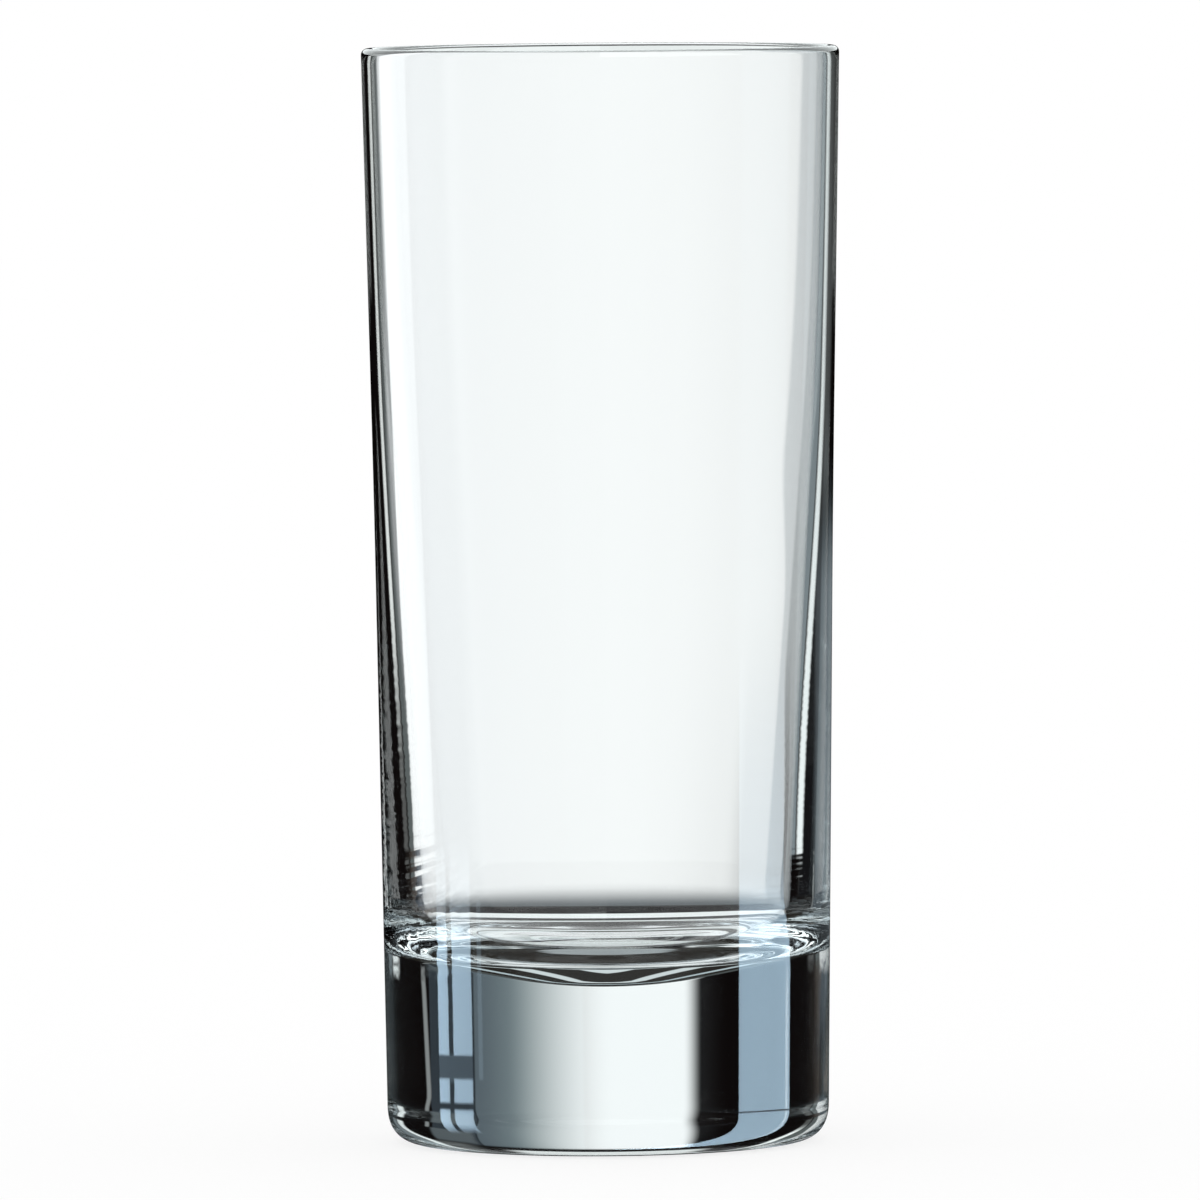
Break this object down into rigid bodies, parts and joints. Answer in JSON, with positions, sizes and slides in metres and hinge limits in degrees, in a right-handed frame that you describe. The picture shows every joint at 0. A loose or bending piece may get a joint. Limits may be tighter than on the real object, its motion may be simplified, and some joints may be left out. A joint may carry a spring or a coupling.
{
  "type": "highball glass",
  "caption": "Straight-sided, slightly flared highball glass with a heavy clear base, a bowl-shaped floor and a rounded rim.",
  "frame": {"origin": "middle of the foot, on the plane that the glass stands on", "axes": "+Z along the axis of the glass, towards the rim; X and Y are alike, because the glass is round"},
  "size_m": [0.065, 0.065, 0.149],
  "materials": {
    "clear_glass": "fire-polished clear soda-lime glass"
  },
  "bodies": {
    "root": {"highball_glass": "clear_glass"}
  },
  "joints": []
}
